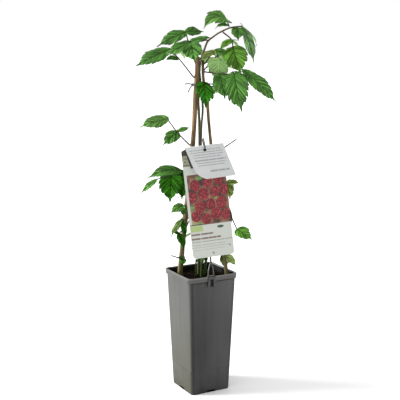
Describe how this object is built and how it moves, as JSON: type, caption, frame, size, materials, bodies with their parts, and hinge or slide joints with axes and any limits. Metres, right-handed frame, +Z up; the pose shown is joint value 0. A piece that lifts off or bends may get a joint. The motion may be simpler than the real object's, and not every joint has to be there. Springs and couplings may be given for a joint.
{
  "type": "potted japanese wineberry",
  "caption": "Young Japanese wineberry: thin tied canes with pointed, toothed leaves in a tall square nursery pot, with a folded plant label on a clip-on holder.",
  "frame": {"origin": "middle of the pot's flat underside, where it stands", "axes": "+Z up along the canes, -Y out of the pot side that carries the label, +X to the right of that side seen from the front"},
  "size_m": [0.2322, 0.1963, 0.6821],
  "materials": {
    "pot_plastic": "grey moulded polypropylene, slightly scuffed",
    "soil": "dark moist compost",
    "bark": "thin tan-brown bark",
    "green_bark": "smooth young green-brown bark",
    "leaf": "mid-green leaf with sunken veins",
    "label_card": "thin printed white sheet",
    "holder_plastic": "dark grey moulded plastic",
    "tie_string": "thin blue-grey string"
  },
  "bodies": {
    "root": {"pot": "pot_plastic", "soil": "soil", "stem_left": "bark", "stem_middle": "green_bark", "stem_right": "bark", "stem_back": "green_bark", "bough_top": "bark", "tie": "tie_string", "label": "label_card", "label_holder": "holder_plastic", "foliage_top_left": "leaf", "foliage_top_upper": "leaf", "foliage_tip_high": "leaf", "foliage_tip_front": "leaf", "foliage_tip_hanging": "leaf", "foliage_under_bough": "leaf", "foliage_stem_top": "leaf", "foliage_right_large": "leaf", "foliage_tie_front": "leaf", "foliage_left_middle": "leaf", "foliage_left_low": "leaf", "foliage_left_small": "leaf", "foliage_left_narrow": "leaf", "foliage_left_folded": "leaf", "foliage_foot_left": "leaf", "foliage_right_small": "leaf", "foliage_right_side": "leaf", "foliage_foot_right": "leaf", "foliage_far_1": "leaf", "foliage_far_2": "leaf", "foliage_far_3": "leaf", "foliage_far_4": "leaf", "foliage_far_5": "leaf", "foliage_far_6": "leaf", "foliage_far_7": "leaf", "foliage_far_8": "leaf", "foliage_far_9": "leaf", "shoot_1": "leaf", "shoot_2": "leaf", "shoot_3": "leaf", "shoot_4": "leaf", "stalk_bare": "leaf"}
  },
  "joints": []
}
